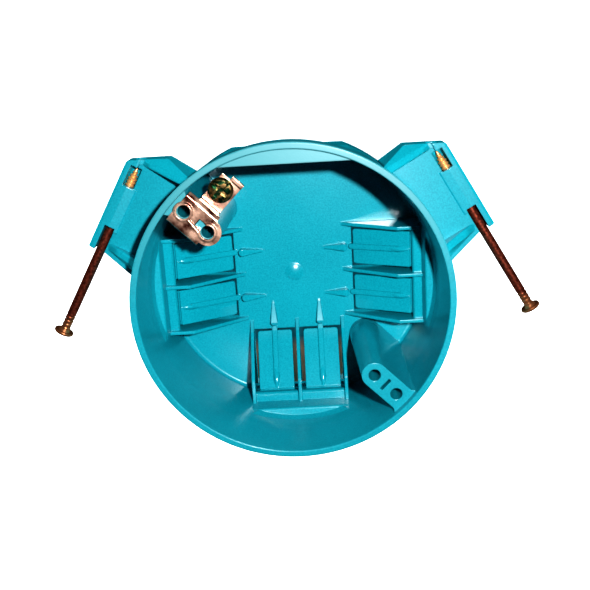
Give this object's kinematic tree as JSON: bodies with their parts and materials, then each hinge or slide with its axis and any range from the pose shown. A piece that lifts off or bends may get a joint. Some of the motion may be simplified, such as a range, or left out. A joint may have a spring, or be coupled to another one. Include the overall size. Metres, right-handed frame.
{
  "type": "nail-on ceiling box",
  "caption": "Round moulded outlet box that nails to the side of a ceiling joist, with flap cable clamps, screw bosses for a fixture, captive nails and a ground strap.",
  "frame": {"origin": "middle of the overall box, on the outer face of the back", "axes": "+Z out of the open mouth, +Y towards the joist the box is nailed to, +X to the right as seen into the mouth with the joist side up"},
  "size_m": [0.1662, 0.1016, 0.0482],
  "materials": {
    "body": "turquoise rigid PVC, satin gloss",
    "nails": "dark copper-brown coated steel",
    "strap": "copper-coloured sheet, shiny",
    "screw": "green and gold plated steel"
  },
  "bodies": {
    "root": {"body": "body", "nail_left": "nails", "nail_right": "nails", "ground_strap": "strap", "ground_screw": "screw"}
  },
  "joints": []
}
